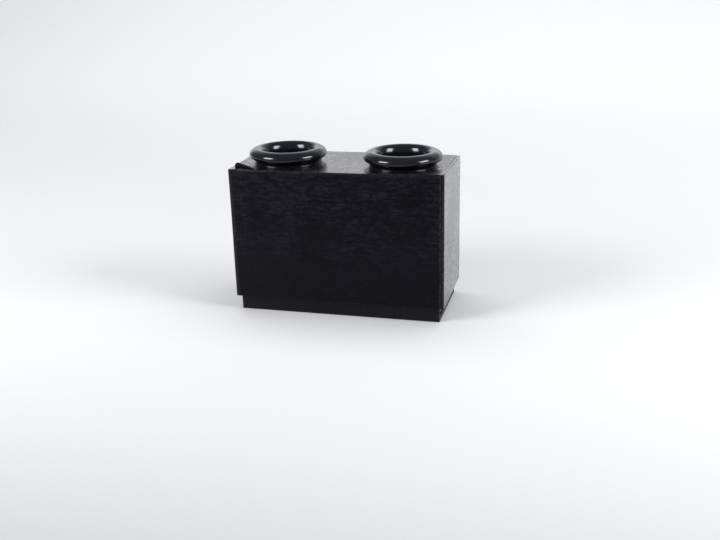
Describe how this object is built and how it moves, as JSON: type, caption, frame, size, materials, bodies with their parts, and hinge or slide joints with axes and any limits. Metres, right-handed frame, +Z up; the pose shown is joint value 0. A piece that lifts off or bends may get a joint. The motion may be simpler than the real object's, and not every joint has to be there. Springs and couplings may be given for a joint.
{
  "type": "stereo viewer",
  "caption": "Box-type stereo viewer: a leatherette-covered lens box with turned eyecups telescopes over a slide box with an end slot for glass stereo slides.",
  "frame": {"origin": "middle of the footprint, on the surface that the slide box stands on", "axes": "+Z up, the way the eyepieces look out; +X to the right along the pair of eyepieces as seen from the front; -Y is the front"},
  "size_m": [0.1148, 0.052, 0.087],
  "materials": {
    "pasteboard": "pasteboard painted matt black",
    "lens_board_wood": "thin wood stained matt black",
    "batten_wood": "small battens stained black",
    "leatherette": "black leather-grain covering, satin, worn shiny at the edges",
    "black_paper": "smooth black paper, satin",
    "felt": "black felt",
    "ebonite": "black turned ebonite, polished",
    "lens_glass": "clear polished glass",
    "frosted_glass": "finely ground glass",
    "brass": "turned brass, dulled",
    "blackened_steel": "blackened spring steel"
  },
  "bodies": {
    "slide_box": {"inner_front_board": "pasteboard", "inner_back_board": "pasteboard", "inner_left_board": "pasteboard", "inner_right_board": "pasteboard", "paper_wrap": "black_paper", "end_sill_left": "pasteboard", "end_sill_right": "pasteboard", "glass_rail_front": "batten_wood", "glass_rail_back": "batten_wood", "ground_glass": "frosted_glass", "picture_mask": "pasteboard", "guide_rail_front": "batten_wood", "guide_rail_back": "batten_wood"},
    "lens_box": {"lens_board": "lens_board_wood", "front_board": "pasteboard", "back_board": "pasteboard", "left_board": "pasteboard", "right_board": "pasteboard", "front_covering": "leatherette", "back_covering": "leatherette", "left_covering": "leatherette", "right_covering": "leatherette", "top_covering": "leatherette", "light_partition": "pasteboard", "corner_blocks": "batten_wood", "felt_front": "felt", "felt_back": "felt", "felt_left": "felt", "felt_right": "felt", "eyecup_left": "ebonite", "eyecup_right": "ebonite", "eyecup_nut_left": "brass", "eyecup_nut_right": "brass", "lens_left": "lens_glass", "lens_right": "lens_glass", "lens_ring_left": "blackened_steel", "lens_ring_right": "blackened_steel"}
  },
  "joints": [
    {"name": "focus_slide", "type": "slide", "parent": "slide_box", "child": "lens_box", "axis": [0, 0, 1], "range_m": [-0.007, 0.025]}
  ]
}
